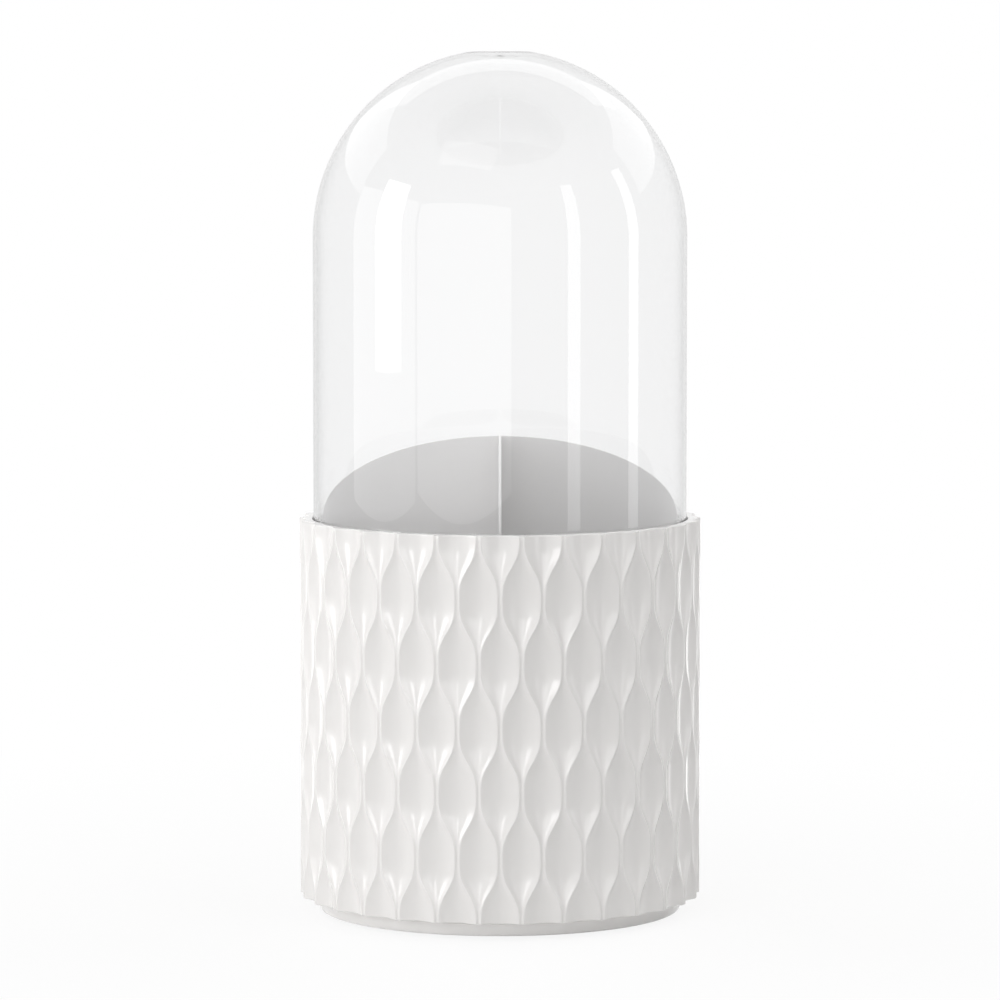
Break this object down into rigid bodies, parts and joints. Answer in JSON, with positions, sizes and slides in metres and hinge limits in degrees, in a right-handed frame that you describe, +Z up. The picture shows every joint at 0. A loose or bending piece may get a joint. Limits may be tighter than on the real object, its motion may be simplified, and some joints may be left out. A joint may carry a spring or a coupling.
{
  "type": "covered makeup brush organizer",
  "caption": "Round embossed cup with a cross divider, a clear domed lid and a low turntable foot, for standing makeup brushes.",
  "frame": {"origin": "centre of the ring of pads, on the surface that the foot stands on", "axes": "+Z up along the cup's axis, -Y is the front, +X is to the right seen from the front"},
  "size_m": [0.124, 0.124, 0.2657],
  "materials": {
    "white_plastic": "white moulded plastic with a soft satin gloss",
    "liner_plastic": "smooth white moulded plastic",
    "divider_plastic": "thin white moulded sheet",
    "clear_plastic": "clear polished moulded plastic",
    "pad_rubber": "matt grey soft pad",
    "cage_plastic": "natural nylon",
    "ball_steel": "polished steel balls",
    "plated_steel": "zinc plated steel"
  },
  "bodies": {
    "foot": {"foot_plate": "white_plastic", "foot_pads": "pad_rubber"},
    "cage": {"ball_cage": "cage_plastic", "bearing_balls": "ball_steel"},
    "cup": {"outer_shell": "white_plastic", "inner_liner": "liner_plastic", "pivot_screw": "plated_steel", "pivot_washer": "plated_steel"},
    "divider": {"divider_wide": "divider_plastic", "divider_deep": "divider_plastic"},
    "dome": {"dome_cover": "clear_plastic"}
  },
  "joints": [
    {"name": "cup_spin", "type": "hinge", "parent": "foot", "child": "cup", "pos_m": [0, 0, 0.006], "axis": [0, 0, 1], "continuous": true},
    {"name": "cage_spin", "type": "hinge", "parent": "foot", "child": "cage", "pos_m": [0, 0, 0.006], "axis": [0, 0, 1], "continuous": true},
    {"name": "dome_lift", "type": "slide", "parent": "cup", "child": "dome", "axis": [0, 0, 1], "range_m": [0, 0.06]},
    {"name": "divider_lift", "type": "slide", "parent": "cup", "child": "divider", "axis": [0, 0, 1], "range_m": [0, 0.08]}
  ],
  "couplings": [
    {"joint": "cage_spin", "follows": "cup_spin", "ratio": 0.5}
  ]
}
